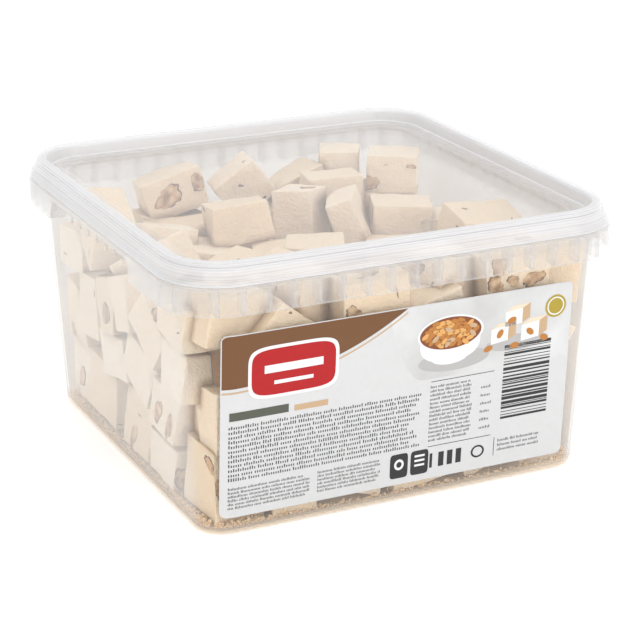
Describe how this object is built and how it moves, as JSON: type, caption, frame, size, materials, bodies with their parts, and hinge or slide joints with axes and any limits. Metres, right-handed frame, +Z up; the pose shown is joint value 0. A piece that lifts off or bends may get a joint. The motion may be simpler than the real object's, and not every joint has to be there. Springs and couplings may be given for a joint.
{
  "type": "lidded tub of nougat pieces",
  "caption": "Square clear plastic tub with a clipped-on lid and a paper label, filled with a loose heap of cut almond nougat pieces.",
  "frame": {"origin": "middle of the tub's flat underside", "axes": "+Z up through the lid, -Y out of the side that carries the label, -X towards the side with the gap in the collar"},
  "size_m": [0.19, 0.19, 0.111],
  "materials": {
    "tub_plastic": "clear, slightly milky moulded polypropylene",
    "lid_plastic": "clear, slightly milky moulded polypropylene",
    "label_paper": "smooth printed paper, satin",
    "nougat": "matt cream nougat with cut almonds"
  },
  "bodies": {
    "root": {"tub": "tub_plastic", "lid": "lid_plastic", "label": "label_paper", "nougat_heap": "nougat"}
  },
  "joints": []
}
